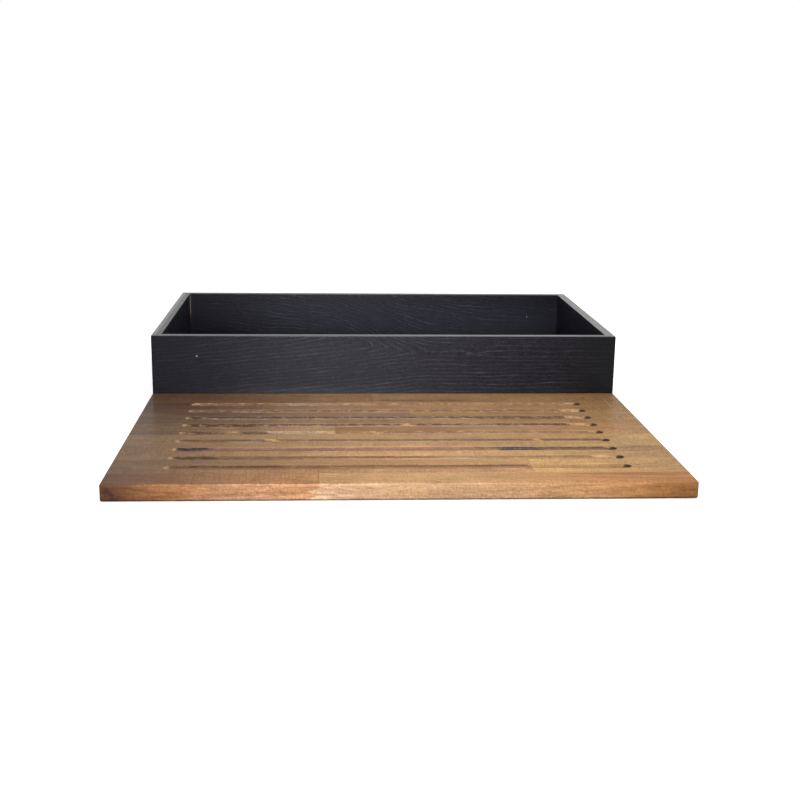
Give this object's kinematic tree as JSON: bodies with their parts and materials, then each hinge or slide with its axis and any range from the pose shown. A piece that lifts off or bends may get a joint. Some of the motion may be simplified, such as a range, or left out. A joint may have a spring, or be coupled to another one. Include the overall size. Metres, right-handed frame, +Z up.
{
  "type": "bread box with cutting board",
  "caption": "Open-topped black wooden bread box with mitred walls; its lid, a grooved cutting board of glued staves, lies flat in front.",
  "frame": {"origin": "middle of the whole footprint, box and board together, on the table", "axes": "+X to the right along the grain of the board and of the front wall, +Y from the board at the front to the box at the rear, +Z up"},
  "size_m": [0.5, 0.6206, 0.08],
  "materials": {
    "stained_ash": "black-stained open-pored ash, satin lacquer",
    "stained_panel": "black-stained ash-faced plywood, satin lacquer",
    "spline_beech": "bare beech",
    "acacia_golden": "oiled acacia, golden brown",
    "acacia_pale": "oiled acacia, pale",
    "acacia_brown": "oiled acacia, dark brown",
    "acacia_red": "oiled acacia, reddish"
  },
  "bodies": {
    "box": {"front_wall": "stained_ash", "back_wall": "stained_ash", "left_wall": "stained_ash", "right_wall": "stained_ash", "bottom_panel": "stained_panel", "corner_splines": "spline_beech"},
    "board": {"stave_1_left": "acacia_brown", "stave_1_right": "acacia_golden", "stave_2_left": "acacia_brown", "stave_2_middle": "acacia_golden", "stave_2_right": "acacia_golden", "stave_3_left": "acacia_golden", "stave_3_middle": "acacia_golden", "stave_3_right": "acacia_pale", "stave_4_left": "acacia_golden", "stave_4_right": "acacia_brown", "stave_5_left": "acacia_golden", "stave_5_middle": "acacia_pale", "stave_5_right": "acacia_pale", "stave_6_left": "acacia_golden", "stave_6_right": "acacia_golden", "stave_7_left": "acacia_golden", "stave_7_right": "acacia_pale", "stave_8_left": "acacia_brown", "stave_8_middle": "acacia_red", "stave_8_right": "acacia_pale"}
  },
  "joints": [
    {"name": "board_lift", "type": "slide", "parent": "box", "child": "board", "axis": [0, 0, 1], "range_m": [0, 0.12]}
  ]
}
